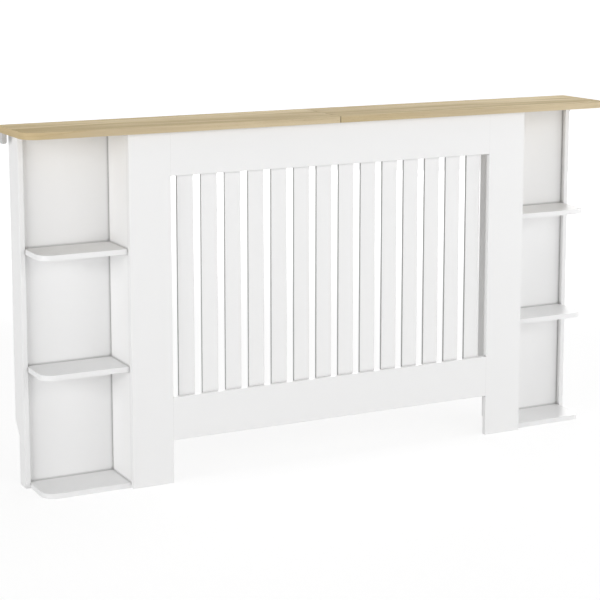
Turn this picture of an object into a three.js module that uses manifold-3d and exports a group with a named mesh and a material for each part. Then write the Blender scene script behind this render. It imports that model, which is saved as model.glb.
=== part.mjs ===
// A radiator cover cabinet: a slatted front between two stiles, an open shelf bay at each side,
// and a two-piece oak top. Millimetres, +Z up. The origin is at the middle of the cover's
// footprint on the floor. The front looks along -Y, the wall is at +Y, and X runs along the width.

import * as THREE from "three";
import { mergeVertices } from "three/addons/utils/BufferGeometryUtils.js";
import Module from "manifold-3d";

const wasm = await Module();
wasm.setup();

// Overall size
const COVER_WIDTH = 1520;
const COVER_DEPTH = 190;
const COVER_HEIGHT = 820;

// Board thicknesses
const TOP_THICKNESS = 15;
const BOARD = 12;
const SLAT_THICKNESS = 6;

// Top
const TOP_FRONT_OVERHANG = 15;
const TOP_SIDE_OVERHANG = 25;
const TOP_CORNER_RADIUS = 38;
const TOP_SEAM_GAP = 1;

// Front frame
const STILE_WIDTH = 100;
const WINDOW_WIDTH = 840;
const TOP_RAIL_HEIGHT = 99;
const BOTTOM_RAIL_HEIGHT = 100;
const FLOOR_GAP = 100;

// Slats
const SLAT_COUNT = 14;
const SLAT_WIDTH = 39.5;
const SLAT_LAP = 40;

// Shelf bays
const SIDE_PANEL_DEPTH = 63;
const BAY_BACK_SETBACK = 12;
const LOWER_BAY_OPENING = 257;
const MIDDLE_BAY_OPENING = 255;
const SHELF_CORNER_RADIUS = 32;

// Cut-out that lets the cover stand over a skirting board
const SKIRTING_DEPTH = 25;
const SKIRTING_STRAIGHT_HEIGHT = 114;
const SKIRTING_SLOPE_HEIGHT = 32;

// Fastenings
const CLEARANCE = 0.3;
const SCREW_RADIUS = 2;
const SCREW_HEAD_RADIUS = 4;
const SCREW_TIP_LENGTH = 5;
const COUNTERSINK_DEPTH = 2.5;
const SHELF_SCREW_LENGTH = 35;
const SHELF_SCREW_INSET = 30;
const DOWEL_RADIUS = 3;
const DOWEL_LENGTH = 40;
const DOWEL_CHAMFER = 1;
const JOINING_PLATE_LENGTH = 140;
const JOINING_PLATE_WIDTH = 30;
const METAL_THICKNESS = 2;
const PLATE_SCREW_SPACING = 32;
const PLATE_SCREW_LENGTH = 14;
const PAN_HEAD_HEIGHT = 2.2;
const ANGLE_LEG = 30;
const ANGLE_WIDTH = 20;
const ANGLE_INSET = 32;
const ANGLE_HOLE_RADIUS = 2.3;
const WALL_BLOCK_WIDTH = 10;
const WALL_BLOCK_DEPTH = 33;
const WALL_BLOCK_HEIGHT = 24;
const WALL_BLOCK_RADIUS = 4.5;
const WALL_BLOCK_INSET = 1;
const WALL_SCREW_DEPTH = 20;

// Fineness of round shapes, and how far a cutter runs past a plate's faces
const ROUND_SIDES = 16;
const CORNER_STEPS = 12;
const CUTTER_OVERRUN = 1;

// Places that follow from the sizes above
const FRONT = -COVER_DEPTH / 2;
const WALL = COVER_DEPTH / 2;
const FRAME_FRONT = FRONT + TOP_FRONT_OVERHANG;
const FRAME_REAR = FRAME_FRONT + BOARD;
const BOARD_TOP = COVER_HEIGHT - TOP_THICKNESS;
const HALF_WINDOW = WINDOW_WIDTH / 2;
const FRAME_EDGE = HALF_WINDOW + STILE_WIDTH;
const PARTITION_INSIDE = FRAME_EDGE - BOARD;
const PANEL_OUTSIDE = COVER_WIDTH / 2 - TOP_SIDE_OVERHANG;
const PANEL_INSIDE = PANEL_OUTSIDE - BOARD;
const PANEL_FRONT = WALL - SIDE_PANEL_DEPTH;
const BAY_BACK_FRONT = PANEL_FRONT + BAY_BACK_SETBACK;
const TOP_RAIL_BOTTOM = BOARD_TOP - TOP_RAIL_HEIGHT;
const BOTTOM_RAIL_TOP = FLOOR_GAP + BOTTOM_RAIL_HEIGHT;
const MIDDLE_SHELF_BOTTOM = BOARD + LOWER_BAY_OPENING;
const UPPER_SHELF_BOTTOM = MIDDLE_SHELF_BOTTOM + BOARD + MIDDLE_BAY_OPENING;
const SHELVES = [
  { level: "lower", bottom: 0 },
  { level: "middle", bottom: MIDDLE_SHELF_BOTTOM },
  { level: "upper", bottom: UPPER_SHELF_BOTTOM },
];
const SHELF_SCREWS = [
  { end: "front", y: FRAME_REAR + SHELF_SCREW_INSET },
  { end: "rear", y: BAY_BACK_FRONT - SHELF_SCREW_INSET },
];
const RAIL_DOWELS = [
  { rail: "top", z: (TOP_RAIL_BOTTOM + BOARD_TOP) / 2 },
  { rail: "bottom", z: (FLOOR_GAP + BOTTOM_RAIL_TOP) / 2 },
];
const FRAME_MIDDLE = (FRAME_FRONT + FRAME_REAR) / 2;
const PLATE_MIDDLE = (FRAME_REAR + WALL) / 2;
const PLATE_SCREW_ROWS = [PLATE_SCREW_SPACING / 2, JOINING_PLATE_LENGTH / 2 - PLATE_SCREW_SPACING / 2];
const SIDES = [
  { name: "left", sign: -1 },
  { name: "right", sign: 1 },
];

// Finishes
const whiteBoard = () => new THREE.MeshStandardMaterial({ color: 0xf2f2f1, roughness: 0.45 });
const oakBoard = () => new THREE.MeshStandardMaterial({ color: 0xc0ab83, roughness: 0.55 });
const beech = () => new THREE.MeshStandardMaterial({ color: 0xc9a777, roughness: 0.7 });
const zinc = () => new THREE.MeshStandardMaterial({ color: 0xb9babd, roughness: 0.35, metalness: 1 });

const cover = new THREE.Group();

// Adds a named piece to the cover with its geometry's own zero at (x, y, z).
function add(name, geometry, material, x = 0, y = 0, z = 0) {
  const piece = new THREE.Mesh(geometry, material());
  piece.name = name;
  piece.position.set(x, y, z);
  cover.add(piece);
  return piece;
}

// A closed solid from a closed geometry, with only its shared corner points kept.
function solidOf(geometry) {
  const bare = geometry.clone();
  bare.deleteAttribute("normal");
  bare.deleteAttribute("uv");
  const merged = mergeVertices(bare);
  const triVerts = new Uint32Array(withoutSlivers(merged.index.array));
  const vertProperties = new Float32Array(merged.attributes.position.array);
  return new wasm.Manifold(new wasm.Mesh({ numProp: 3, vertProperties, triVerts }));
}

// A turned shape has triangles of no width where its profile meets the axis.
function withoutSlivers(corners) {
  const kept = [];
  for (let start = 0; start < corners.length; start += 3) {
    const [a, b, c] = corners.slice(start, start + 3);
    if (a !== b && b !== c && c !== a) kept.push(a, b, c);
  }
  return kept;
}

function geometryOf(solid) {
  const mesh = solid.getMesh();
  const geometry = new THREE.BufferGeometry();
  geometry.setAttribute("position", new THREE.BufferAttribute(new Float32Array(mesh.vertProperties), 3));
  geometry.setIndex(new THREE.BufferAttribute(new Uint32Array(mesh.triVerts), 1));
  geometry.computeVertexNormals();
  return geometry;
}

// The geometry with each of the tools cut out of it.
function cut(geometry, tools) {
  let solid = solidOf(geometry);
  for (const tool of tools) {
    solid = solid.subtract(solidOf(tool));
  }
  return geometryOf(solid);
}

// A box between two corners.
function block(low, high) {
  const size = high.map((value, axis) => value - low[axis]);
  const geometry = new THREE.BoxGeometry(...size);
  geometry.translate(...low.map((value, axis) => value + size[axis] / 2));
  return geometry;
}

// A turned piece: its profile is [radius, distance along the axis] from end to end.
function turned(profile) {
  return new THREE.LatheGeometry(profile.map(([r, along]) => new THREE.Vector2(r, along)), ROUND_SIDES);
}

// Turns a piece that was made along +Y so that it runs along X, towards the given side.
function alongX(geometry, sign) {
  return geometry.rotateZ(-sign * Math.PI / 2);
}

// Turns a piece that was made along +Y so that it runs up along +Z.
function alongZ(geometry) {
  return geometry.rotateX(Math.PI / 2);
}

// A flat board's outline seen from above, from an inner to an outer end, with one round outer
// corner at the front.
function boardOutline(sign, inner, outer, front, rear, radius) {
  const shape = new THREE.Shape();
  shape.moveTo(sign * inner, rear);
  shape.lineTo(sign * inner, front);
  const endAngle = sign > 0 ? 0 : -Math.PI;
  shape.absarc(sign * (outer - radius), front + radius, radius, -Math.PI / 2, endAngle, sign < 0);
  shape.lineTo(sign * outer, rear);
  return shape;
}

function flatBoard(outline, thickness) {
  return new THREE.ExtrudeGeometry(outline, {
    depth: thickness,
    bevelEnabled: false,
    curveSegments: CORNER_STEPS,
  });
}

// An upright board that stands square to the wall, from its front edge back to the wall, with
// the skirting cut-out in its lower rear corner. It is one board thick from x = 0 up.
function uprightBoard(front) {
  const profile = new THREE.Shape();
  profile.moveTo(front, 0);
  profile.lineTo(WALL - SKIRTING_DEPTH, 0);
  profile.lineTo(WALL - SKIRTING_DEPTH, SKIRTING_STRAIGHT_HEIGHT);
  profile.lineTo(WALL, SKIRTING_STRAIGHT_HEIGHT + SKIRTING_SLOPE_HEIGHT);
  profile.lineTo(WALL, BOARD_TOP);
  profile.lineTo(front, BOARD_TOP);
  const geometry = new THREE.ExtrudeGeometry(profile, { depth: BOARD, bevelEnabled: false });
  const along = new THREE.Vector3(0, 1, 0);
  const up = new THREE.Vector3(0, 0, 1);
  const across = new THREE.Vector3(1, 0, 0);
  return geometry.applyMatrix4(new THREE.Matrix4().makeBasis(along, up, across));
}

// A countersunk screw, head first along +Y. A gap above zero makes the hole that it goes in.
function countersunkScrew(length, gap = 0) {
  const head = SCREW_HEAD_RADIUS + gap;
  const shank = SCREW_RADIUS + gap;
  return turned([
    [0, -gap],
    [head, -gap],
    [head, 0],
    [shank, COUNTERSINK_DEPTH],
    [shank, length - SCREW_TIP_LENGTH + gap],
    [0, length + gap],
  ]);
}

// A plain round hole along +Y.
function hole(radius, length) {
  return turned([
    [0, 0],
    [radius, 0],
    [radius, length],
    [0, length],
  ]);
}

function panScrew() {
  const shoulder = SCREW_HEAD_RADIUS - PAN_HEAD_HEIGHT / 2;
  return turned([
    [0, -PAN_HEAD_HEIGHT],
    [shoulder, -PAN_HEAD_HEIGHT],
    [SCREW_HEAD_RADIUS, -PAN_HEAD_HEIGHT / 2],
    [SCREW_HEAD_RADIUS, 0],
    [SCREW_RADIUS, 0],
    [SCREW_RADIUS, PLATE_SCREW_LENGTH - SCREW_TIP_LENGTH],
    [0, PLATE_SCREW_LENGTH],
  ]);
}

function dowel() {
  return turned([
    [0, -DOWEL_LENGTH / 2],
    [DOWEL_RADIUS - DOWEL_CHAMFER, -DOWEL_LENGTH / 2],
    [DOWEL_RADIUS, DOWEL_CHAMFER - DOWEL_LENGTH / 2],
    [DOWEL_RADIUS, DOWEL_LENGTH / 2 - DOWEL_CHAMFER],
    [DOWEL_RADIUS - DOWEL_CHAMFER, DOWEL_LENGTH / 2],
    [0, DOWEL_LENGTH / 2],
  ]);
}

// The hole for one rail dowel, across the joint between a rail and a stile.
function dowelHole(sign, z) {
  const reach = DOWEL_LENGTH / 2 + CLEARANCE;
  const bore = alongX(hole(DOWEL_RADIUS + CLEARANCE, 2 * reach), 1);
  return bore.translate(sign * HALF_WINDOW - reach, FRAME_MIDDLE, z);
}

function shelfScrewHole(sign, y, z) {
  const bore = alongX(countersunkScrew(SHELF_SCREW_LENGTH, CLEARANCE), sign);
  return bore.translate(sign * PARTITION_INSIDE, y, z);
}

// The front frame: two stiles that reach the floor, and two rails pegged between them.
function addFrontFrame() {
  for (const { name, sign } of SIDES) {
    const ends = [sign * HALF_WINDOW, sign * FRAME_EDGE].sort((a, b) => a - b);
    const stile = block([ends[0], FRAME_FRONT, 0], [ends[1], FRAME_REAR, BOARD_TOP]);
    const pegHoles = RAIL_DOWELS.map(({ z }) => dowelHole(sign, z));
    add(`front_stile_${name}`, cut(stile, pegHoles), whiteBoard);
  }
  const rails = {
    top: block([-HALF_WINDOW, FRAME_FRONT, TOP_RAIL_BOTTOM], [HALF_WINDOW, FRAME_REAR, BOARD_TOP]),
    bottom: block([-HALF_WINDOW, FRAME_FRONT, FLOOR_GAP], [HALF_WINDOW, FRAME_REAR, BOTTOM_RAIL_TOP]),
  };
  for (const { rail, z } of RAIL_DOWELS) {
    const pegHoles = SIDES.map(({ sign }) => dowelHole(sign, z));
    add(`${rail}_rail`, cut(rails[rail], pegHoles), whiteBoard);
    for (const { name, sign } of SIDES) {
      const peg = alongX(dowel(), sign);
      add(`${rail}_rail_dowel_${name}`, peg, beech, sign * HALF_WINDOW, FRAME_MIDDLE, z);
    }
  }
}

// The slats stand behind the window with equal gaps, and lap the backs of both rails.
function addSlats() {
  const gap = (WINDOW_WIDTH - SLAT_COUNT * SLAT_WIDTH) / (SLAT_COUNT + 1);
  const bottom = BOTTOM_RAIL_TOP - SLAT_LAP;
  const height = TOP_RAIL_BOTTOM + SLAT_LAP - bottom;
  for (let index = 0; index < SLAT_COUNT; index += 1) {
    const left = -HALF_WINDOW + gap + index * (SLAT_WIDTH + gap);
    const number = String(index + 1).padStart(2, "0");
    const slat = new THREE.BoxGeometry(SLAT_WIDTH, SLAT_THICKNESS, height);
    const middleY = FRAME_REAR + SLAT_THICKNESS / 2;
    add(`slat_${number}`, slat, whiteBoard, left + SLAT_WIDTH / 2, middleY, bottom + height / 2);
  }
}

// One side bay: partition, outer panel, back panel, three shelves and the screws that hold them.
function addBay({ name, sign }) {
  const partitionLeft = sign > 0 ? PARTITION_INSIDE : -FRAME_EDGE;
  const screwHoles = [];
  for (const { level, bottom } of SHELVES) {
    const z = bottom + BOARD / 2;
    const holes = SHELF_SCREWS.map(({ y }) => shelfScrewHole(sign, y, z));
    screwHoles.push(...holes);
    const outline = boardOutline(
      sign, FRAME_EDGE, PANEL_INSIDE, FRAME_REAR, BAY_BACK_FRONT, SHELF_CORNER_RADIUS,
    );
    const shelf = flatBoard(outline, BOARD).translate(0, 0, bottom);
    add(`shelf_${name}_${level}`, cut(shelf, holes), whiteBoard);
    for (const { end, y } of SHELF_SCREWS) {
      const screw = alongX(countersunkScrew(SHELF_SCREW_LENGTH), sign);
      add(`shelf_screw_${name}_${level}_${end}`, screw, zinc, sign * PARTITION_INSIDE, y, z);
    }
  }
  const partition = uprightBoard(FRAME_REAR).translate(partitionLeft, 0, 0);
  add(`partition_${name}`, cut(partition, screwHoles), whiteBoard);

  const panelLeft = sign > 0 ? PANEL_INSIDE : -PANEL_OUTSIDE;
  add(`side_panel_${name}`, uprightBoard(PANEL_FRONT), whiteBoard, panelLeft);

  const backWidth = PANEL_INSIDE - FRAME_EDGE;
  const back = new THREE.BoxGeometry(backWidth, BOARD, BOARD_TOP);
  const backX = sign * (FRAME_EDGE + backWidth / 2);
  add(`bay_back_${name}`, back, whiteBoard, backX, BAY_BACK_FRONT + BOARD / 2, BOARD_TOP / 2);
}

// The two halves of the top meet over the middle of the radiator, with a narrow seam between them.
function addTop() {
  const pilotDepth = PLATE_SCREW_LENGTH - METAL_THICKNESS + CLEARANCE;
  for (const { name, sign } of SIDES) {
    const outline = boardOutline(
      sign, TOP_SEAM_GAP / 2, COVER_WIDTH / 2, FRONT, WALL, TOP_CORNER_RADIUS,
    );
    const half = flatBoard(outline, TOP_THICKNESS).translate(0, 0, BOARD_TOP);
    const pilots = PLATE_SCREW_ROWS.map((x) => {
      const bore = alongZ(hole(SCREW_RADIUS + CLEARANCE, pilotDepth + CLEARANCE));
      return bore.translate(sign * x, PLATE_MIDDLE, BOARD_TOP - CLEARANCE);
    });
    add(`top_board_${name}`, cut(half, pilots), oakBoard);
  }
}

// A flat steel plate screwed up into both halves of the top.
function addJoiningPlate() {
  const plateBottom = BOARD_TOP - METAL_THICKNESS;
  const plate = new THREE.BoxGeometry(JOINING_PLATE_LENGTH, JOINING_PLATE_WIDTH, METAL_THICKNESS);
  const holes = [];
  for (const { name, sign } of SIDES) {
    PLATE_SCREW_ROWS.forEach((x, row) => {
      const bore = alongZ(hole(SCREW_RADIUS + CLEARANCE, METAL_THICKNESS + 2 * CUTTER_OVERRUN));
      holes.push(bore.translate(sign * x, 0, -METAL_THICKNESS / 2 - CUTTER_OVERRUN));
      const place = row === 0 ? "inner" : "outer";
      add(`plate_screw_${name}_${place}`, alongZ(panScrew()), zinc, sign * x, PLATE_MIDDLE, plateBottom);
    });
  }
  add("top_joining_plate", cut(plate, holes), zinc, 0, PLATE_MIDDLE, plateBottom + METAL_THICKNESS / 2);
}

// Angle brackets tie the top to the inner face of each partition.
function addAngleBrackets() {
  for (const { name, sign } of SIDES) {
    for (const { end, y } of [
      { end: "front", y: FRAME_REAR + ANGLE_INSET },
      { end: "rear", y: WALL - ANGLE_INSET },
    ]) {
      const profile = new THREE.Shape();
      profile.moveTo(0, 0);
      profile.lineTo(0, -ANGLE_LEG);
      profile.lineTo(METAL_THICKNESS, -ANGLE_LEG);
      profile.lineTo(METAL_THICKNESS, -METAL_THICKNESS);
      profile.lineTo(ANGLE_LEG, -METAL_THICKNESS);
      profile.lineTo(ANGLE_LEG, 0);
      const angle = new THREE.ExtrudeGeometry(profile, { depth: ANGLE_WIDTH, bevelEnabled: false });
      const middle = (ANGLE_LEG + METAL_THICKNESS) / 2;
      const holeLength = METAL_THICKNESS + 2 * CUTTER_OVERRUN;
      const upperHole = hole(ANGLE_HOLE_RADIUS, holeLength);
      upperHole.translate(middle, -METAL_THICKNESS - CUTTER_OVERRUN, ANGLE_WIDTH / 2);
      const sideHole = alongX(hole(ANGLE_HOLE_RADIUS, holeLength), 1);
      sideHole.translate(-CUTTER_OVERRUN, -middle, ANGLE_WIDTH / 2);
      const bracket = add(`angle_bracket_${name}_${end}`, cut(angle, [upperHole, sideHole]), zinc);
      const inward = new THREE.Vector3(-sign, 0, 0);
      const up = new THREE.Vector3(0, 0, 1);
      const across = new THREE.Vector3(0, sign, 0);
      bracket.quaternion.setFromRotationMatrix(new THREE.Matrix4().makeBasis(inward, up, across));
      bracket.position.set(sign * PARTITION_INSIDE, y - sign * ANGLE_WIDTH / 2, BOARD_TOP);
    }
  }
}

// A small cast block under each rear corner of the top takes the screw that holds the cover back
// against the wall. Its lower inner edge is rounded.
function addWallBlocks() {
  for (const { name, sign } of SIDES) {
    const outer = COVER_WIDTH / 2 - WALL_BLOCK_INSET;
    const inner = outer - WALL_BLOCK_WIDTH;
    const profile = new THREE.Shape();
    profile.moveTo(sign * outer, BOARD_TOP);
    profile.lineTo(sign * outer, BOARD_TOP - WALL_BLOCK_HEIGHT);
    const arcX = sign * (inner + WALL_BLOCK_RADIUS);
    const arcZ = BOARD_TOP - WALL_BLOCK_HEIGHT + WALL_BLOCK_RADIUS;
    const endAngle = sign > 0 ? -Math.PI : 0;
    profile.absarc(arcX, arcZ, WALL_BLOCK_RADIUS, -Math.PI / 2, endAngle, sign > 0);
    profile.lineTo(sign * inner, BOARD_TOP);
    const upright = flatBoard(profile, WALL_BLOCK_DEPTH).rotateX(Math.PI / 2).translate(0, WALL, 0);
    const bore = hole(SCREW_RADIUS, WALL_SCREW_DEPTH + CUTTER_OVERRUN);
    bore.translate(sign * (inner + outer) / 2, WALL - WALL_SCREW_DEPTH, BOARD_TOP - WALL_BLOCK_HEIGHT / 2);
    add(`wall_block_${name}`, cut(upright, [bore]), zinc);
  }
}

addTop();
addJoiningPlate();
addFrontFrame();
addSlats();
SIDES.forEach(addBay);
addAngleBrackets();
addWallBlocks();

export default cover;
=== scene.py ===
# Radiator cover cabinet: the finish of its boards, oak top and fittings, in a plain studio.
# Metres, +Z up: X runs along the width, the front looks along -Y and the wall is at +Y.

import math

import bmesh
import bpy
from mathutils import Matrix, Vector


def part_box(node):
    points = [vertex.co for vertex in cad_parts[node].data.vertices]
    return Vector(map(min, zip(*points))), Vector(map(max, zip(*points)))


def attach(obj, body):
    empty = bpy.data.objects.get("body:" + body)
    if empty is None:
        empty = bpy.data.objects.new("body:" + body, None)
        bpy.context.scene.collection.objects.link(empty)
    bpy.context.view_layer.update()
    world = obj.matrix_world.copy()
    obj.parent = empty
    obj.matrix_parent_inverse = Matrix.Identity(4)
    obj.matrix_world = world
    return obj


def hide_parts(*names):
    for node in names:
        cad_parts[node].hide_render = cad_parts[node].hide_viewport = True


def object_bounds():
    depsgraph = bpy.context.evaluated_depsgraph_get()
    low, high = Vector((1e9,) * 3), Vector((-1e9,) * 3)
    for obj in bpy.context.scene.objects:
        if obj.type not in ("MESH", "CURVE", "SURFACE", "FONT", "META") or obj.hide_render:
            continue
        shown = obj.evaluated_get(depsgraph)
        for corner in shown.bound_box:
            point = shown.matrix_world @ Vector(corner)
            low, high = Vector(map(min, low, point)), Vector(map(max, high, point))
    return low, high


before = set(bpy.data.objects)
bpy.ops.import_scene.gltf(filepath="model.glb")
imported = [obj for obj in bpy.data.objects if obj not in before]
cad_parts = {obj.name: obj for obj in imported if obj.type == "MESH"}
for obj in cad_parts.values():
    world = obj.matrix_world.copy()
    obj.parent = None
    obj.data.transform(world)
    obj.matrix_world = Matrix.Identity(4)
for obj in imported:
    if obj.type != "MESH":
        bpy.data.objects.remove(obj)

CAD_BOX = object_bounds()
MM = 0.001
X, Y, Z = range(3)

SIDES = ("left", "right")
LEVELS = ("lower", "middle", "upper")
SLATS = [name for name in sorted(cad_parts) if name.startswith("slat_")]

# Arrises, by the radius that a maker's tools leave on them
BOARD_ARRIS = 0.7 * MM
FRAME_ARRIS = 0.5 * MM
SLAT_ARRIS = 0.4 * MM
TOP_ARRIS = 0.9 * MM
SEAM_ARRIS = 0.6 * MM
JOINT_ARRIS = 0.12 * MM
METAL_ARRIS = 0.25 * MM
CAST_ARRIS = 0.9 * MM
BRACKET_BEND = 1.8 * MM
BRACKET_FILLET = 0.8 * MM
BRACKET_CORNER = 3 * MM
PLATE_CORNER = 4 * MM
GLUE_LINE = 0.15 * MM
ARRIS_STEPS = 3

# How the CAD solids are read
WELD = 0.001 * MM
FLAT_ANGLE = math.radians(1)
ARRIS_ANGLE = math.radians(30)
SHARP_ANGLE = math.radians(38)
HOLE_RIM_EDGE = 2.5 * MM
SAME_PLACE = 0.02 * MM
NEARLY_ALONG = 0.99
NEARLY_FLAT = 0.9
MOSTLY_FACING = 0.7
FLAT, ROUND = range(2)

# Screws, in the order from head to tip
SCREW_SIDES = 24
SCREW_HEAD = 4 * MM
HEAD_EDGE = 0.2 * MM
COUNTERSINK = 2.5 * MM
PAN_HEIGHT = 2.2 * MM
PAN_STEPS = 6
PAN_FLAT = 0.4
PAN_CURVE = 0.8
PAN_NECK = 0.05 * MM
RECESS_REACH = 2.1 * MM
RECESS_END_REACH = 0.95 * MM
RECESS_WIDTH = 0.9 * MM
RECESS_DEPTH = 1.5 * MM
SCREW_SHANK = 2 * MM
THREAD_PITCH = 1.8 * MM
THREAD_DEPTH = 0.45 * MM
THREAD_STEPS = 6
THREAD_WIDTH = 0.2
SCREW_TIP = 5 * MM
TIP_CURVE = 0.7
TIP_BLANK = 0.5 * MM
TIP_RADIUS = 0.1 * MM
SMALL_SCREW_LENGTH = 12 * MM
BLOCK_SCREW_LENGTH = 34 * MM
BLOCK_SCREW_FROM_FRONT = 2 * SCREW_HEAD
SLAT_SCREW_FROM_END = 20 * MM

# Dowels
DOWEL_CHAMFER = 1 * MM
DOWEL_FLUTES = 12
DOWEL_FLUTE_DEPTH = 0.25 * MM
DOWEL_FLUTE_SHARPNESS = 3
DOWEL_SIDES = 48

# White boards: linear greys, and how many marks of each kind lie in a metre
WHITE_DULL = 0.865
WHITE_BRIGHT = 0.88
WHITE_BAND = 0.865
# Slats: their edge band is painted a darker grey, as shade that falls on their edges between the
# slats
SLAT_EDGE_SHADE_GREY = 0.38
WHITE_GLUE = 0.72
WHITE_ROUGHNESS = 0.44
CLOUDS = 7
SPECKS = 420
PEEL = 900
FINE_PEEL = 2600
PEEL_HEIGHT = 0.03 * MM

# Shade painted into the white boards' colour in the creases between them, where other surfaces
# lie close. It stays clear of the floor and the oak top
CREASE_REACH = 8 * MM
CREASE_CLOSED = (0.1, 0.5)
CREASE_SHADE_GREY = 0.3
CREASE_SHADE_DEPTH = 0.66
SLAT_CREASE_SHADE_DEPTH = 0.2
CREASE_SAMPLES = 6
CREASE_CLEAR = 12 * MM
CREASE_START = CREASE_CLEAR / 3
BOARD_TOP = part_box("top_rail")[1].z

# Oak decor: linear tones
OAK_PALE = (0.74, 0.605, 0.365, 1)
OAK_MIDDLE = (0.6, 0.47, 0.245, 1)
OAK_DARK = (0.415, 0.305, 0.13, 1)
OAK_GOLDEN = (0.55, 0.42, 0.225, 1)
OAK_BAND = (0.6, 0.505, 0.36, 1)
OAK_CUT_END = (0.16, 0.11, 0.06, 1)
OAK_PORE = (0.27, 0.18, 0.09, 1)
OAK_GLUE = (0.33, 0.24, 0.14, 1)
OAK_UNDERSIDE = (0.36, 0.28, 0.17, 1)
OAK_ROUGHNESS = 0.62
OAK_SPECULAR = 0.2
OAK_GRAIN_HEIGHT = 0.05 * MM

# Oak decor: its layers over a dark ground, in order, with each one's strength and tone
OAK_LAYERS = {
    "streaks": (1.0, OAK_MIDDLE),
    "pale_streaks": (1.0, OAK_PALE),
    "pale_stripe": (0.7, OAK_PALE),
    "heart_stripe": (0.75, OAK_DARK),
    "dark_lines": (0.58, OAK_DARK),
    "pale_lines": (0.45, OAK_PALE),
    "wall_line": (0.75, OAK_DARK),
    "golden_patches": (0.3, OAK_GOLDEN),
    "edge_band": (0.65, OAK_BAND),
    "seam_end": (0.4, OAK_DARK),
    "left_end_band": (0.75, OAK_GOLDEN),
    "cut_end": (0.8, OAK_CUT_END),
    "growth_lines": (0.28, OAK_DARK),
    "fibres": (0.16, OAK_PALE),
    "open_pores": (0.45, OAK_PORE),
    "glue_line": (0.5, OAK_GLUE),
    "underside": (0.5, OAK_UNDERSIDE),
}

# Oak decor: marks in a metre along the grain, and across it
DRIFT = (1.6, 7, 1)
STREAKS = (1.3, 26, 1)
NARROW_STREAKS = (2.4, 75, 1)
BROAD_PATCHES = (0.8, 9, 1)
GROWTH_LINES = (2.2, 170, 1)
FIBRES = (28, 1500, 1)
PORES = (70, 2300, 1)
DRIFT_WIDTH = 0.07

# Oak decor: where its stripes fade in or out, in metres from the middle of the top
HEART_STRIPE_FRONT = (-0.095, -0.05)
HEART_STRIPE_BACK = (-0.03, 0.03)
PALE_STRIPE_FRONT = (0.01, 0.06)
WALL_LINE_FRONT = (0.084, 0.091)
LEFT_END_FADE = (-0.75, -0.56)
SEAM_END_FADE = (0.04, 0.35)
CUT_END_FADE = (0.9 * MM, 1.4 * MM)

# Upright parts of a face's normal, where it stops looking down or starts looking up
LOOKS_DOWN = (-0.8, -0.1)
LOOKS_UP = (0.2, 0.5)

# The right board is cut from a far part of the pattern, beyond BETWEEN_BOARDS, and the edge
# bands from other parts
RIGHT_BOARD_GRAIN = 3.7
EDGE_BAND_GRAIN = 0.9
BETWEEN_BOARDS = (1, 2)

# Metals and beech
CRYSTALS = 330
DRAWN_SCRATCHES = (300, 300, 4000)
DULL_PATCHES = 60
SCRATCH_HEIGHT = 0.02 * MM
PLATED_GREY = 0.62
PLATED_ROUGHNESS = 0.36
SCREW_GREY = 0.72
SCREW_ROUGHNESS = 0.26
CAST_GREY = 0.62
CAST_ROUGHNESS = 0.6
CAST_METALLIC = 0.2
BEECH_DARK = (0.56, 0.37, 0.2, 1)
BEECH_PALE = (0.66, 0.48, 0.29, 1)
BEECH_FLECK = (0.38, 0.22, 0.11, 1)
BEECH_FIBRES = (90, 1600, 1600)
BEECH_FLECKS = (260, 2400, 900)
BEECH_ROUGHNESS = 0.7
BEECH_GRAIN_HEIGHT = 0.06 * MM

# Studio
FLOOR_RADIUS = 30.0
FLOOR_SIDES = 96
FLOOR_DROP = 0.2 * MM
FLOOR_GREY = (0.3, 0.3, 0.3, 1)
FLOOR_BOUNCE_GREY = (0.8, 0.8, 0.8, 1)
FLOOR_ROUGHNESS = 0.9
SHADOW_RADIUS = 1.4
WHITE_RADIUS = 3.0
GLOW_AT_COVER = 0.76
WORLD_WHITE = (1, 1, 1, 1)
WORLD_LEVEL = 0.27

# Soft square lamps: each one's place, its width and its watts
LAMPS = {
    "front_lamp": ((1.2, -4.4, 1.1), 3.6, 76),
    "left_lamp": ((-4.2, -1.8, 0.8), 2.6, 110),
    "right_lamp": ((4.1, -1.5, 0.9), 3.0, 80),
    "rear_lamp": ((2.4, 4.0, 1.4), 3.2, 88),
    "top_lamp": ((0.0, 0.0, 4.2), 3.0, 39),
}

CAMERA_PLACE = (-1.9285, -3.6481, 1.2534)
CAMERA_YAW = math.radians(27.157)
CAMERA_PITCH = math.radians(8.973)
CAMERA_LENS = 105.61
CAMERA_SHIFT = -0.16
SENSOR_WIDTH = 36


# Finishes

class Socket:
    """An output of a finish's node tree. Arithmetic on it adds Math nodes to the tree."""

    def __init__(self, finish, socket):
        self.finish = finish
        self.socket = socket

    def __add__(self, other):
        return self.finish.math("ADD", self, other)

    def __radd__(self, other):
        return self.finish.math("ADD", other, self)

    def __sub__(self, other):
        return self.finish.math("SUBTRACT", self, other)

    def __rsub__(self, other):
        return self.finish.math("SUBTRACT", other, self)

    def __mul__(self, other):
        return self.finish.math("MULTIPLY", self, other)

    def __rmul__(self, other):
        return self.finish.math("MULTIPLY", other, self)

    def ramp(self, low, high):
        """0 below low and 1 above high, with a smooth turn between them."""
        settings = {"interpolation_type": "SMOOTHSTEP"}
        return self.finish.node(
            "ShaderNodeMapRange", settings, {"Value": self, "From Min": low, "From Max": high}
        )


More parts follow.
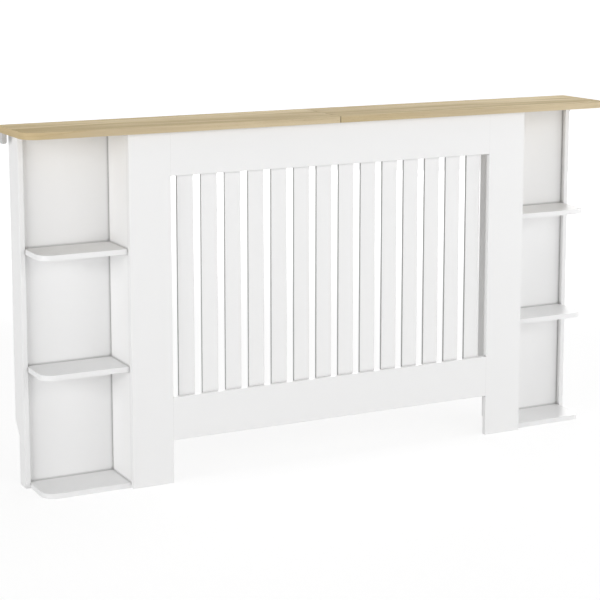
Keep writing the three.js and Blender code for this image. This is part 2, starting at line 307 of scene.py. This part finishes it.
class Finish:
    """A material made of nodes, with a Principled shader at its end."""

    def __init__(self, name):
        self.material = bpy.data.materials.new(name)
        self.material.use_nodes = True
        self.tree = self.material.node_tree
        self.surface = self.tree.nodes["Principled BSDF"]

    def node(self, kind, settings=None, inputs=None, output=0):
        """A node of this kind: first its settings, then the values or links of its sockets."""
        made = self.tree.nodes.new(kind)
        for name, value in (settings or {}).items():
            setattr(made, name, value)
        for name, value in (inputs or {}).items():
            self.feed(made.inputs[name], value)
        return Socket(self, made.outputs[output])

    def feed(self, target, value):
        if isinstance(value, Socket):
            self.tree.links.new(value.socket, target)
        else:
            target.default_value = value

    def set(self, **inputs):
        """Feeds the shader at the end: Base_Color stands for its Base Color socket."""
        for name, value in inputs.items():
            self.feed(self.surface.inputs[name.replace("_", " ")], value)

    def place(self):
        return self.node("ShaderNodeTexCoord", output="Object")

    def noise(self, vector, scale, detail, roughness=0.5):
        inputs = {"Vector": vector, "Scale": scale, "Detail": detail, "Roughness": roughness}
        return self.node("ShaderNodeTexNoise", None, inputs)

    def stretched_noise(self, vector, scales, detail, roughness=0.5, shift=(0, 0, 0)):
        """Noise with a scale for each axis, taken from another part of it by the shift."""
        settings = {"operation": "MULTIPLY_ADD"}
        spot = self.node("ShaderNodeVectorMath", settings, {0: vector, 1: scales, 2: shift})
        return self.noise(spot, 1, detail, roughness)

    def mark(self, name):
        """A value that the mesh holds for each face."""
        return self.node("ShaderNodeAttribute", {"attribute_name": name}, output="Fac")

    def math(self, operation, *values):
        return self.node("ShaderNodeMath", {"operation": operation}, dict(enumerate(values)))

    def part(self, vector, axis):
        """One of a vector's three numbers."""
        return self.node("ShaderNodeSeparateXYZ", None, {0: vector}, axis)

    def openness(self, reach):
        """1 in the open, and less where other surfaces lie within reach, as in a crease."""
        settings = {"samples": CREASE_SAMPLES}
        return self.node("ShaderNodeAmbientOcclusion", settings, {"Distance": reach}, "AO")

    def mix(self, factor, first, second):
        """The first colour at factor 0, and the second at factor 1."""
        settings = {"data_type": "RGBA"}
        return self.node("ShaderNodeMix", settings, {0: factor, 6: first, 7: second}, output=2)

    def bump(self, height, distance):
        inputs = {"Height": height, "Distance": distance, "Strength": 1.0}
        return self.node("ShaderNodeBump", None, inputs)


def grey(level, warmth=0.0):
    return (level, level - warmth, level - 2 * warmth, 1)


def white_board(name, band_and_shade_grey=WHITE_BAND, crease_shade_depth=CREASE_SHADE_DEPTH):
    """Satin white board with an edge band: a faint orange peel, a hair line where the band meets
    the face, and shade painted into its colour in the creases between boards. On the slats the
    band's darker grey is painted shade as well."""
    finish = Finish(name)
    place = finish.place()
    band = finish.mark("edge_band")
    glue = finish.mark("glue_line")
    clouds = finish.noise(place, CLOUDS, 3) - 0.5
    specks = finish.noise(place, SPECKS, 2) - 0.5
    face = finish.mix(clouds * 0.5 + 0.5, grey(WHITE_DULL, 0.002), grey(WHITE_BRIGHT, 0.001))
    banded = finish.mix(band, face, grey(band_and_shade_grey, 0.001))
    joined = finish.mix(glue, banded, grey(WHITE_GLUE, 0.006))
    height = finish.part(place, Z)
    off_floor = height.ramp(CREASE_START, CREASE_CLEAR)
    off_top = 1 - height.ramp(BOARD_TOP - CREASE_CLEAR, BOARD_TOP - CREASE_START)
    # Painted shade: the colour is darkened to a grey where other surfaces lie close, in creases
    # and corners.
    crease = (1 - finish.openness(CREASE_REACH)).ramp(*CREASE_CLOSED) * off_floor * off_top
    peel = finish.noise(place, PEEL, 2, 0.45)
    fine = finish.noise(place, FINE_PEEL, 1)
    finish.set(
        Base_Color=finish.mix(crease * crease_shade_depth, joined, grey(CREASE_SHADE_GREY, 0.004)),
        Roughness=WHITE_ROUGHNESS + clouds * 0.08 + specks * 0.05 - band * 0.07,
        Normal=finish.bump(peel + fine * 0.3, PEEL_HEIGHT),
    )
    return finish.material


def oak_board():
    """Pale oak decor: a pale stripe along the back, a dark heart stripe nearer the front, soft
    streaks, growth lines, fibres and short pores, and a band of its own tone round the edge."""
    finish = Finish("pale_oak_decor")
    grain = finish.node("ShaderNodeUVMap", {"uv_map": "grain"})
    band = finish.mark("edge_band")
    glue = finish.mark("glue_line")
    normal = finish.node("ShaderNodeNewGeometry", output="Normal")

    drift = finish.stretched_noise(grain, DRIFT, 2, 0.4) - 0.5
    sway = finish.node("ShaderNodeCombineXYZ", None, {"Y": drift * DRIFT_WIDTH})
    wavy = finish.node("ShaderNodeVectorMath", {"operation": "ADD"}, {0: grain, 1: sway})
    along, across = finish.part(grain, X), finish.part(wavy, Y)

    streaks = finish.stretched_noise(wavy, STREAKS, 3, 0.55)
    narrow = finish.stretched_noise(wavy, NARROW_STREAKS, 2, 0.5, shift=(2, 5, 0))
    broad = finish.stretched_noise(wavy, BROAD_PATCHES, 1, shift=(4, 2, 0))
    rings = finish.stretched_noise(wavy, GROWTH_LINES, 2, 0.6, shift=(1, 7, 0))
    fibres = finish.stretched_noise(wavy, FIBRES, 2, 0.6)
    pores = finish.stretched_noise(wavy, PORES, 1, shift=(3, 5, 0))
    open_pores = pores.ramp(0.62, 0.7) * rings.ramp(0.42, 0.6)

    face = 1 - band
    heart = across.ramp(*HEART_STRIPE_FRONT) * (1 - across.ramp(*HEART_STRIPE_BACK))
    from_seam = along - RIGHT_BOARD_GRAIN
    from_middle = finish.math("ABSOLUTE", finish.part(finish.place(), X))
    rise = finish.part(normal, Z)
    masks = {
        "streaks": streaks.ramp(0.4, 0.56),
        "pale_streaks": streaks.ramp(0.5, 0.66),
        "pale_stripe": across.ramp(*PALE_STRIPE_FRONT) * face,
        "heart_stripe": heart * face,
        "dark_lines": narrow.ramp(0.5, 0.6),
        "pale_lines": 1 - narrow.ramp(0.38, 0.5),
        "wall_line": finish.part(grain, Y).ramp(*WALL_LINE_FRONT) * face,
        "golden_patches": broad.ramp(0.52, 0.72),
        "edge_band": band,
        "seam_end": along.ramp(*BETWEEN_BOARDS) * (1 - from_seam.ramp(*SEAM_END_FADE)),
        "left_end_band": (1 - along.ramp(*LEFT_END_FADE)) * band,
        "cut_end": (1 - from_middle.ramp(*CUT_END_FADE)) * band * (1 - rise.ramp(*LOOKS_UP)),
        "growth_lines": rings.ramp(0.56, 0.7),
        "fibres": fibres.ramp(0.4, 0.7),
        "open_pores": open_pores,
        "glue_line": glue,
        "underside": 1 - rise.ramp(*LOOKS_DOWN),
    }
    tone = OAK_DARK
    for layer, (strength, layer_tone) in OAK_LAYERS.items():
        tone = finish.mix(masks[layer] * strength, tone, layer_tone)
    finish.set(
        Base_Color=tone,
        Specular_IOR_Level=OAK_SPECULAR,
        Roughness=OAK_ROUGHNESS + fibres * 0.12 - band * 0.06,
        Normal=finish.bump(fibres * 0.5 - open_pores + rings * 0.4, OAK_GRAIN_HEIGHT),
    )
    return finish.material


def zinc(name, level, roughness, metallic=1.0):
    """Zinc, plated or cast: soft crystal patches, duller places and fine scratches."""
    finish = Finish(name)
    place = finish.place()
    crystals = {"Vector": place, "Scale": CRYSTALS}
    cells = finish.node("ShaderNodeTexVoronoi", {"feature": "F1"}, crystals, "Color")
    patch = finish.part(cells, X) - 0.5
    scratches = finish.stretched_noise(place, DRAWN_SCRATCHES, 2, 0.6) - 0.5
    dull = finish.noise(place, DULL_PATCHES, 3).ramp(0.35, 0.7)
    bright = finish.mix(patch * 0.6 + 0.5, grey(level * 0.92), grey(level, 0.01))
    finish.set(
        Base_Color=finish.mix(dull * 0.35, bright, grey(level * 0.8, 0.01)),
        Metallic=metallic,
        Roughness=roughness + patch * 0.08 + scratches * 0.12 + dull * 0.1,
        Normal=finish.bump(scratches, SCRATCH_HEIGHT),
    )
    return finish.material


def beech():
    """Bare beech: short darker flecks along the dowel."""
    finish = Finish("bare_beech")
    place = finish.place()
    fibres = finish.stretched_noise(place, BEECH_FIBRES, 2, 0.6)
    flecks = finish.stretched_noise(place, BEECH_FLECKS, 1).ramp(0.6, 0.68)
    tone = finish.mix(fibres, BEECH_DARK, BEECH_PALE)
    finish.set(
        Base_Color=finish.mix(flecks * 0.5, tone, BEECH_FLECK),
        Roughness=BEECH_ROUGHNESS + fibres * 0.1,
        Normal=finish.bump(fibres - flecks * 0.5, BEECH_GRAIN_HEIGHT),
    )
    return finish.material


# Meshes

def linked(name, mesh):
    piece = bpy.data.objects.new(name, mesh)
    bpy.context.scene.collection.objects.link(piece)
    return piece


def mesh_of(name, solid):
    mesh = bpy.data.meshes.new(name)
    solid.to_mesh(mesh)
    solid.free()
    return mesh


def evaluated(piece):
    """The piece's mesh with its modifiers applied, and the modifiers gone."""
    shaped = piece.evaluated_get(bpy.context.evaluated_depsgraph_get())
    mesh = bpy.data.meshes.new_from_object(shaped)
    piece.modifiers.clear()
    return mesh


def smooth_shaded(piece):
    for polygon in piece.data.polygons:
        polygon.use_smooth = True
    piece.data.set_sharp_from_angle(angle=SHARP_ANGLE)
    weighted = piece.modifiers.new("flat_faces_stay_flat", "WEIGHTED_NORMAL")
    weighted.keep_sharp = True


def real_edges(node):
    """A CAD node's solid with its split corners joined and its flat faces whole again."""
    solid = bmesh.new()
    solid.from_mesh(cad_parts[node].data)
    bmesh.ops.remove_doubles(solid, verts=solid.verts, dist=WELD)
    bmesh.ops.dissolve_limit(
        solid, angle_limit=FLAT_ANGLE, verts=solid.verts, edges=solid.edges
    )
    return solid


def rounded(node, arris_of):
    """A copy of a CAD node's shape with each arris rounded to arris_of(edge), in metres.

    Its faces have the material index FLAT or ROUND."""
    solid = real_edges(node)
    weight = solid.edges.layers.float.new("bevel_weight_edge")
    sharp = [edge for edge in solid.edges if edge.calc_face_angle(0) > ARRIS_ANGLE]
    radii = [arris_of(edge) for edge in sharp]
    largest = max(radii)
    for edge, radius in zip(sharp, radii):
        edge[weight] = radius / largest
    piece = linked(f"{node}_finished", mesh_of(node, solid))
    for _ in (FLAT, ROUND):
        piece.data.materials.append(None)
    bevel = piece.modifiers.new("arrises", "BEVEL")
    bevel.limit_method = "WEIGHT"
    bevel.width = largest
    bevel.segments = ARRIS_STEPS
    bevel.material = ROUND
    piece.data = evaluated(piece)
    return piece


def longways(edge, axis):
    """Whether an edge runs along the axis."""
    span = edge.verts[1].co - edge.verts[0].co
    return abs(span[axis]) > NEARLY_ALONG * span.length


def at(edge, axis, place):
    """Whether an edge lies at this place on the axis."""
    return all(abs(vert.co[axis] - place) < SAME_PLACE for vert in edge.verts)


def on_corner(edge, node, *axes):
    """Whether an edge lies on a corner of its node's box, seen along the remaining axis."""
    low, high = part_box(node)
    return all(at(edge, axis, low[axis]) or at(edge, axis, high[axis]) for axis in axes)


def on_hole(edge):
    """Whether an edge is one of the short ones round a hole or a round corner."""
    return edge.calc_length() < HOLE_RIM_EDGE


def mark_bands(piece, thickness_axis):
    """Marks the faces of a board's edge band, and a hair line where the band meets each face."""
    solid = bmesh.new()
    solid.from_mesh(piece.data)
    band = solid.faces.layers.float.new("edge_band")
    glue = solid.faces.layers.float.new("glue_line")
    wide = []
    for face in solid.faces:
        if face.material_index == FLAT and abs(face.normal[thickness_axis]) > NEARLY_FLAT:
            wide.append(face)
        else:
            face[band] = 1
        face.material_index = FLAT
    rim = bmesh.ops.inset_region(solid, faces=wide, thickness=GLUE_LINE, use_even_offset=True)
    for face in rim["faces"]:
        face[glue] = 1
    solid.to_mesh(piece.data)
    solid.free()


def board(node, thickness_axis, arris_of):
    """A flat board: small arrises, edge bands and their glue lines."""
    piece = rounded(node, lambda edge: 0 if on_hole(edge) else arris_of(edge))
    mark_bands(piece, thickness_axis)
    return piece


def finish_piece(piece, material, slot, *nodes):
    """Gives a piece its one material, its shading and its body, and hides the CAD nodes it stands
    for.
    """
    piece.data.materials.clear()
    piece.data.materials.append(material)
    smooth_shaded(piece)
    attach(piece, "root")
    if nodes:
        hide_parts(*nodes)


# White boards

def dress_white_board(node, thickness_axis, arris_of, material):
    finish_piece(board(node, thickness_axis, arris_of), material, "white_board", node)


def dress_front_frame(material):
    """Stiles and rails: crisp arrises, and a joint that hardly shows between them."""
    joints = [corner.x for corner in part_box("top_rail")]

    def arris_of(edge):
        return JOINT_ARRIS if any(at(edge, X, place) for place in joints) else FRAME_ARRIS

    for node in ("front_stile_left", "front_stile_right", "top_rail", "bottom_rail"):
        dress_white_board(node, Y, arris_of, material)


def dress_slats(material):
    for node in SLATS:
        dress_white_board(node, Y, lambda edge: SLAT_ARRIS, material)


def dress_bays(material):
    """Partitions, outer side panels, bay backs and shelves."""
    for side in SIDES:
        boards = {f"partition_{side}": X, f"side_panel_{side}": X, f"bay_back_{side}": Y}
        for level in LEVELS:
            boards[f"shelf_{side}_{level}"] = Z
        for node, thickness_axis in boards.items():
            dress_white_board(node, thickness_axis, lambda edge: BOARD_ARRIS, material)


# Oak top

def corner_radius_of(node):
    """The round front corner's radius: how far the straight front edge stops short of the end."""
    low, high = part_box(node)
    half_width = max(abs(low.x), abs(high.x))
    on_front = [
        abs(vert.co.x)
        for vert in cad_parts[node].data.vertices
        if abs(vert.co.y - low.y) < SAME_PLACE
    ]
    return half_width - max(on_front)


def run_along_edge(point, half_width, radius, front):
    """How far a point lies along the board's edge, from the middle of the front, round the corner
    and back along the side."""
    out = abs(point.x) - (half_width - radius)
    back = point.y - (front + radius)
    if out <= 0:
        return abs(point.x)
    if back < 0:
        return half_width - radius + radius * math.atan2(out, -back)
    return half_width - radius + radius * math.pi / 2 + back


def map_grain(piece, side):
    """Lays the grain along the board's faces, and along its edge band right round the corner."""
    node = f"top_board_{side}"
    low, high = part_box(node)
    half_width = max(abs(low.x), abs(high.x))
    corner_radius = corner_radius_of(node)
    sign = 1 if side == "right" else -1
    shift = Vector((RIGHT_BOARD_GRAIN if side == "right" else 0, 0))
    band_shift = Vector((0, EDGE_BAND_GRAIN))
    solid = bmesh.new()
    solid.from_mesh(piece.data)
    grain = solid.loops.layers.uv.new("grain")
    band = solid.faces.layers.float["edge_band"]
    for face in solid.faces:
        for loop in face.loops:
            point = loop.vert.co
            if not face[band]:
                spot = Vector((point.x, point.y))
            elif face.normal.x * sign < -MOSTLY_FACING:
                spot = Vector((point.y, point.z)) + band_shift
            elif face.normal.y > MOSTLY_FACING:
                spot = Vector((abs(point.x), point.z)) + 2 * band_shift
            else:
                run = run_along_edge(point, half_width, corner_radius, low.y)
                spot = Vector((sign * run, point.z)) + band_shift
            loop[grain].uv = spot + shift
    solid.to_mesh(piece.data)
    solid.free()


def dress_top(material):
    for side in SIDES:
        node = f"top_board_{side}"
        seam = min((corner.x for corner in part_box(node)), key=abs)
        piece = board(node, Z, lambda edge: SEAM_ARRIS if at(edge, X, seam) else TOP_ARRIS)
        map_grain(piece, side)
        finish_piece(piece, material, "oak_board", node)


# Fittings

def turned(rings, sides, radius_at):
    """A closed turned solid along +Z from (radius, along) rings, with flat ends. The function
    radius_at(radius, along, turn) gives the radius at each point."""
    solid = bmesh.new()
    ends = [solid.verts.new((0, 0, rings[end][1])) for end in (0, -1)]
    rows = []
    for radius, along in rings:
        row = []
        for step in range(sides):
            turn = 2 * math.pi * step / sides
            reach = radius_at(radius, along, turn)
            row.append(solid.verts.new((reach * math.cos(turn), reach * math.sin(turn), along)))
        rows.append(row)
    for low, high in zip(rows, rows[1:]):
        for step in range(sides):
            after = (step + 1) % sides
            solid.faces.new((low[step], low[after], high[after], high[step]))
    for step in range(sides):
        after = (step + 1) % sides
        solid.faces.new((ends[0], rows[0][after], rows[0][step]))
        solid.faces.new((ends[1], rows[-1][step], rows[-1][after]))
    return solid


def cross_cutter(head_top):
    """A tapered cross that cuts the driver's recess, down from the top of a screw's head."""
    solid = bmesh.new()
    half = RECESS_WIDTH / 2
    outside, inside = head_top - RECESS_DEPTH, head_top + RECESS_DEPTH
    rings = []
    for height, reach in ((outside, RECESS_REACH), (inside, RECESS_END_REACH)):
        ring = []
        for quarter in range(4):
            turn = Matrix.Rotation(quarter * math.pi / 2, 3, "Z")
            for across, along in ((reach, -half), (reach, half), (half, half)):
                ring.append(solid.verts.new(turn @ Vector((across, along, height))))
        rings.append(ring)
    low, high = rings
    solid.faces.new(reversed(low))
    solid.faces.new(high)
    for step, vert in enumerate(low):
        after = (step + 1) % len(low)
        solid.faces.new((vert, low[after], high[after], high[step]))
    return solid


def screw_mesh(name, head_rings, head_top, length):
    """A wood screw along +Z with a cross recess in its head and a thread down to its tip."""
    thread_start = head_rings[-1][1] + THREAD_PITCH
    thread_end = length - TIP_BLANK
    step = THREAD_PITCH / THREAD_STEPS
    core = SCREW_SHANK - THREAD_DEPTH
    rings = list(head_rings)
    for index in range(int((thread_end - thread_start) / step) + 1):
        along = thread_start + index * step
        left = length - along
        rings.append((core * min(1, left / SCREW_TIP) ** TIP_CURVE, along))
    rings.append((TIP_RADIUS, length))

    def with_thread(radius, along, turn):
        if not thread_start <= along <= thread_end:
            return radius
        phase = (along / THREAD_PITCH - turn / (2 * math.pi)) % 1
        crest = max(0, 1 - abs(phase - 0.5) / THREAD_WIDTH)
        taper = min(1, (length - along) / SCREW_TIP, (along - thread_start) / THREAD_PITCH)
        return radius + THREAD_DEPTH * crest * taper

    screw = linked(name, mesh_of(name, turned(rings, SCREW_SIDES, with_thread)))
    cutter = linked(f"{name}_recess", mesh_of(name, cross_cutter(head_top)))
    cut = screw.modifiers.new("recess", "BOOLEAN")
    cut.operation = "DIFFERENCE"
    cut.solver = "EXACT"
    cut.object = cutter
    solid = bmesh.new()
    solid.from_mesh(evaluated(screw))
    bmesh.ops.remove_doubles(solid, verts=solid.verts, dist=WELD)
    bpy.data.objects.remove(cutter)
    bpy.data.objects.remove(screw)
    return mesh_of(name, solid)


def countersunk(name, length):
    """A screw whose flat head top is at z = 0."""
    rings = [
        (0.5 * SCREW_HEAD, 0),
        (SCREW_HEAD - HEAD_EDGE, 0),
        (SCREW_HEAD, HEAD_EDGE),
        (SCREW_HEAD, 2 * HEAD_EDGE),
        (SCREW_SHANK, COUNTERSINK),
        (SCREW_SHANK, COUNTERSINK + THREAD_PITCH),
    ]
    return screw_mesh(name, rings, 0, length)


def pan_head(name, length):
    """A screw with a domed head that bears on z = 0."""
    rings = []
    for step in range(PAN_STEPS + 1):
        turn = math.pi / 2 * step / PAN_STEPS
        share = PAN_FLAT + (1 - PAN_FLAT) * math.sin(turn)
        rings.append((SCREW_HEAD * share, -PAN_HEIGHT * math.cos(turn) ** PAN_CURVE))
    rings += [(SCREW_SHANK, PAN_NECK), (SCREW_SHANK, THREAD_PITCH)]
    return screw_mesh(name, rings, -PAN_HEIGHT, length)


def pointing(direction):
    """The turn that brings +Z to a direction."""
    return Vector((0, 0, 1)).rotation_difference(Vector(direction)).to_matrix().to_4x4()


def group(name, mesh, places):
    """One piece made of copies of a mesh, each at a (point, direction)."""
    solid = bmesh.new()
    for point, direction in places:
        copy = mesh.copy()
        copy.transform(Matrix.Translation(point) @ pointing(direction))
        solid.from_mesh(copy)
        bpy.data.meshes.remove(copy)
    return linked(name, mesh_of(name, solid))


def middle_of(node):
    low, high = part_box(node)
    return (low + high) / 2


def dress_shelf_screws(material):
    """Countersunk screws that go out through each partition into the ends of the shelves."""
    low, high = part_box("shelf_screw_right_lower_front")
    mesh = countersunk("shelf_screw", high.x - low.x)
    for side, sign in zip(SIDES, (-1, 1)):
        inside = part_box(f"partition_{side}")[0 if sign > 0 else 1].x
        for level in LEVELS:
            for end in ("front", "rear"):
                node = f"shelf_screw_{side}_{level}_{end}"
                middle = middle_of(node)
                spot = Vector((inside, middle.y, middle.z))
                piece = group(f"{node}_finished", mesh, [(spot, (sign, 0, 0))])
                finish_piece(piece, material, "zinc", node)


def dress_plate_screws(material):
    low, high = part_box("plate_screw_left_inner")
    mesh = pan_head("plate_screw", high.z - low.z - PAN_HEIGHT)
    plate_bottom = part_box("top_joining_plate")[0].z
    for side in SIDES:
        for place in ("inner", "outer"):
            node = f"plate_screw_{side}_{place}"
            middle = middle_of(node)
            spot = Vector((middle.x, middle.y, plate_bottom))
            piece = group(f"{node}_finished", mesh, [(spot, (0, 0, 1))])
            finish_piece(piece, material, "zinc", node)


def dress_joining_plate(material):
    """A flat steel plate with round corners."""
    def arris_of(edge):
        if not on_hole(edge):
            return METAL_ARRIS
        corner = longways(edge, Z) and on_corner(edge, "top_joining_plate", X, Y)
        return PLATE_CORNER if corner else 0

    piece = rounded("top_joining_plate", arris_of)
    finish_piece(piece, material, "zinc", "top_joining_plate")


def thickness_of_bracket(node):
    """How thick the bent strip is: the lowest end of its upright leg is one thickness wide."""
    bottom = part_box(node)[0].z
    foot = [
        vert.co.x
        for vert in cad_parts[node].data.vertices
        if abs(vert.co.z - bottom) < SAME_PLACE
    ]
    return max(foot) - min(foot)


def dress_angle_brackets(material, screw_material):
    """Bent steel angles under the top, with round leg ends, and the two screws of each."""
    screw = pan_head("bracket_screw", SMALL_SCREW_LENGTH)
    for side, sign in zip(SIDES, (-1, 1)):
        for end in ("front", "rear"):
            node = f"angle_bracket_{side}_{end}"
            low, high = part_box(node)
            outside = high.x if sign > 0 else low.x
            thickness = thickness_of_bracket(node)
            inside = outside - sign * thickness

            def arris_of(edge):
                if abs(edge.calc_length() - thickness) < SAME_PLACE and not longways(edge, Y):
                    return BRACKET_CORNER
                if on_hole(edge):
                    return 0
                if at(edge, X, outside) and at(edge, Z, high.z):
                    return BRACKET_BEND
                if at(edge, X, inside) and at(edge, Z, high.z - thickness):
                    return BRACKET_FILLET
                return METAL_ARRIS

            finish_piece(rounded(node, arris_of), material, "zinc", node)
            middle = (low + high) / 2
            leg = (high.z - low.z + thickness) / 2
            on_side = Vector((inside, middle.y, high.z - leg))
            on_top = Vector((outside - sign * leg, middle.y, high.z - thickness))
            places = [(on_side, (sign, 0, 0)), (on_top, (0, 0, 1))]
            screws = group(f"{node}_screws", screw, places)
            finish_piece(screws, screw_material, "zinc")


def dress_wall_blocks(material, screw_material):
    """Small cast blocks under the rear corners of the top, each held up by a screw."""
    screw = countersunk("block_screw", BLOCK_SCREW_LENGTH)
    for side in SIDES:
        node = f"wall_block_{side}"
        piece = rounded(node, lambda edge: 0 if on_hole(edge) else CAST_ARRIS)
        finish_piece(piece, material, "zinc", node)
        low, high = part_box(node)
        spot = Vector(((low.x + high.x) / 2, low.y + BLOCK_SCREW_FROM_FRONT, low.z))
        finish_piece(group(f"{node}_screw", screw, [(spot, (0, 0, 1))]), screw_material, "zinc")


def add_slat_screws(material):
    """A row of screws through the slats into each rail, driven from behind."""
    screw = pan_head("slat_screw", SMALL_SCREW_LENGTH)
    for name, end, sign in (("bottom", 0, 1), ("top", 1, -1)):
        places = []
        for node in SLATS:
            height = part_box(node)[end].z + sign * SLAT_SCREW_FROM_END
            spot = Vector((middle_of(node).x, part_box(node)[1].y, height))
            places.append((spot, (0, -1, 0)))
        finish_piece(group(f"slat_screws_{name}", screw, places), material, "zinc")


def dress_dowels(material):
    """Fluted dowels across the joints between the rails and the stiles."""
    low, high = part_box("top_rail_dowel_left")
    half, radius = (high.x - low.x) / 2, (high.z - low.z) / 2
    small = radius - DOWEL_CHAMFER
    shoulder = half - DOWEL_CHAMFER
    rings = [(small, -half), (radius, -shoulder), (radius, shoulder), (small, half)]

    def fluted(size, along, turn):
        if abs(along) > shoulder:
            return size
        flute = (0.5 + 0.5 * math.cos(DOWEL_FLUTES * turn)) ** DOWEL_FLUTE_SHARPNESS
        return size - DOWEL_FLUTE_DEPTH * flute

    mesh = mesh_of("dowel", turned(rings, DOWEL_SIDES, fluted))
    for rail in ("top", "bottom"):
        for side in SIDES:
            node = f"{rail}_rail_dowel_{side}"
            piece = group(f"{node}_finished", mesh, [(middle_of(node), (1, 0, 0))])
            finish_piece(piece, material, "beech", node)


def dress_cover():
    white = white_board("satin_white_board")
    # The slats' darker edge band grey is painted shade from the gaps between them.
    slat_white = white_board("satin_white_slat", SLAT_EDGE_SHADE_GREY, SLAT_CREASE_SHADE_DEPTH)
    plated = zinc("galvanised_steel", PLATED_GREY, PLATED_ROUGHNESS)
    bright = zinc("bright_zinc_screw", SCREW_GREY, SCREW_ROUGHNESS)
    cast = zinc("cast_zinc", CAST_GREY, CAST_ROUGHNESS, CAST_METALLIC)
    dress_front_frame(white)
    dress_slats(slat_white)
    dress_bays(white)
    dress_top(oak_board())
    dress_joining_plate(plated)
    dress_plate_screws(bright)
    dress_shelf_screws(bright)
    dress_angle_brackets(plated, bright)
    dress_wall_blocks(cast, bright)
    add_slat_screws(bright)
    dress_dowels(beech())


# Studio

def background_rays(finish):
    """1 for rays that show the background itself: to the camera, in gloss and through glass."""
    path = "ShaderNodeLightPath"
    seen = finish.node(path, output="Is Camera Ray") + finish.node(path, output="Is Glossy Ray")
    seen = seen + finish.node(path, output="Is Transmission Ray")
    return seen.ramp(0, 1)


def pale_floor():
    """A floor that shows white, and keeps a soft shadow close to the cover."""
    finish = Finish("pale_floor")
    away = finish.node(
        "ShaderNodeVectorMath", {"operation": "LENGTH"}, {0: finish.place()}, "Value"
    )
    glow = GLOW_AT_COVER + away.ramp(SHADOW_RADIUS, WHITE_RADIUS) * (1 - GLOW_AT_COVER)
    finish.set(
        Base_Color=FLOOR_GREY,
        Roughness=FLOOR_ROUGHNESS,
        Specular_IOR_Level=0.0,
        Emission_Color=finish.node("ShaderNodeCombineColor", None, {0: glow, 1: glow, 2: glow}),
        Emission_Strength=1.0,
    )
    plain = finish.node("ShaderNodeBsdfDiffuse", None, {"Color": FLOOR_BOUNCE_GREY})
    shown = Socket(finish, finish.surface.outputs[0])
    factor = background_rays(finish)
    both = finish.node("ShaderNodeMixShader", None, {0: factor, 1: plain, 2: shown})
    finish.feed(finish.tree.nodes["Material Output"].inputs["Surface"], both)
    return finish.material


def add_floor():
    disc = bmesh.new()
    bmesh.ops.create_circle(disc, cap_ends=True, segments=FLOOR_SIDES, radius=FLOOR_RADIUS)
    floor = linked("studio_floor", mesh_of("studio_floor", disc))
    floor.location.z = CAD_BOX[0].z - FLOOR_DROP
    floor.data.materials.append(pale_floor())


class World(Finish):
    """The world's node tree, which ends in its own Background shader."""

    def __init__(self, world):
        world.use_nodes = True
        self.tree = world.node_tree
        self.surface = self.tree.nodes["Background"]


def light_world():
    """An even pale light, which is white where the background itself shows."""
    world = bpy.data.worlds.new("studio")
    bpy.context.scene.world = world
    sky = World(world)
    level = WORLD_LEVEL + background_rays(sky) * (1 - WORLD_LEVEL)
    sky.set(Color=WORLD_WHITE, Strength=level)


def add_lamps():
    """Soft square lamps that look at the middle of the cover."""
    middle = (CAD_BOX[0] + CAD_BOX[1]) / 2
    for name, (place, width, watts) in LAMPS.items():
        data = bpy.data.lights.new(name, "AREA")
        data.shape = "SQUARE"
        data.size = width
        data.energy = watts
        lamp = linked(name, data)
        lamp.location = place
        lamp.rotation_euler = (middle - Vector(place)).to_track_quat("-Z", "Y").to_euler()


def add_camera():
    """The photograph's viewpoint: from the front left, a little above the top."""
    data = bpy.data.cameras.new("camera")
    data.sensor_width = SENSOR_WIDTH
    data.lens = CAMERA_LENS
    data.shift_y = CAMERA_SHIFT
    camera = linked("camera", data)
    camera.location = CAMERA_PLACE
    camera.rotation_euler = (math.pi / 2 - CAMERA_PITCH, 0, -CAMERA_YAW)
    bpy.context.scene.camera = camera


add_camera()
dress_cover()
add_floor()
light_world()
add_lamps()
bpy.context.scene.view_settings.view_transform = "Standard"
